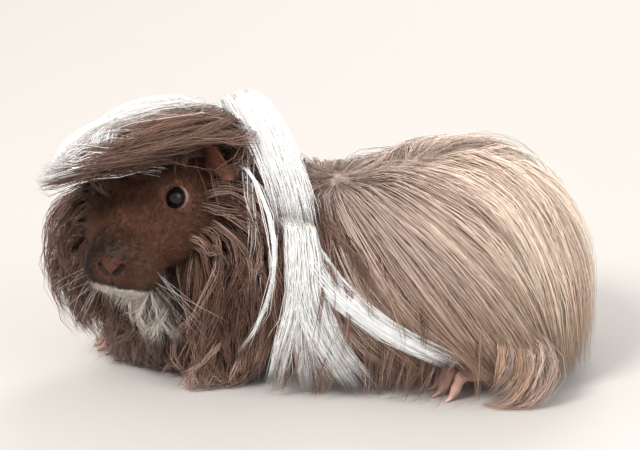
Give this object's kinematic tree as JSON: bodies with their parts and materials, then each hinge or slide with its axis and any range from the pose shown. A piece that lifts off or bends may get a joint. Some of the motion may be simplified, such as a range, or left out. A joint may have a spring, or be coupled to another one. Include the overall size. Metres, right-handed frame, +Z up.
{
  "type": "guinea pig",
  "caption": "Long-haired guinea pig, a still life-size model, crouching with its head turned to its left and its coat down to the floor.",
  "frame": {"origin": "on the floor under the middle of the belly, at the flat that the animal rests on", "axes": "+X along the spine towards the rump, so the breast is at -X; +Z up; the animal's left side is at -Y and its head is turned that way"},
  "size_m": [0.2509, 0.1448, 0.1271],
  "materials": {
    "coat_brown": "short and long dark brown hair",
    "coat_brow": "long mid brown hair with paler tips",
    "coat_white": "long silky white hair",
    "coat_taupe": "long silky taupe hair",
    "coat_tan": "long silky tan hair",
    "skin_pink": "bare pink skin of the feet",
    "skin_brown": "bare brown skin of the ears and nose",
    "eye": "wet, nearly black eye",
    "claw": "cream horn"
  },
  "bodies": {
    "root": {"head": "coat_brown", "nose": "skin_brown", "chin": "coat_white", "eye_left": "eye", "ear_left": "skin_brown", "cheek_left": "coat_brown", "eye_right": "eye", "ear_right": "skin_brown", "cheek_right": "coat_brown", "forelock": "coat_brow", "throat": "coat_brow", "breast": "coat_brow", "neck": "coat_white", "trunk": "coat_taupe", "rump": "coat_tan", "lock_left": "coat_taupe", "foreleg_left": "skin_pink", "claw_foreleg_left_1": "claw", "claw_foreleg_left_2": "claw", "claw_foreleg_left_3": "claw", "claw_foreleg_left_4": "claw", "foreleg_right": "skin_pink", "claw_foreleg_right_1": "claw", "claw_foreleg_right_2": "claw", "claw_foreleg_right_3": "claw", "claw_foreleg_right_4": "claw", "hindleg_left": "skin_pink", "claw_hindleg_left_1": "claw", "claw_hindleg_left_2": "claw", "claw_hindleg_left_3": "claw", "hindleg_right": "skin_pink", "claw_hindleg_right_1": "claw", "claw_hindleg_right_2": "claw", "claw_hindleg_right_3": "claw"}
  },
  "joints": []
}
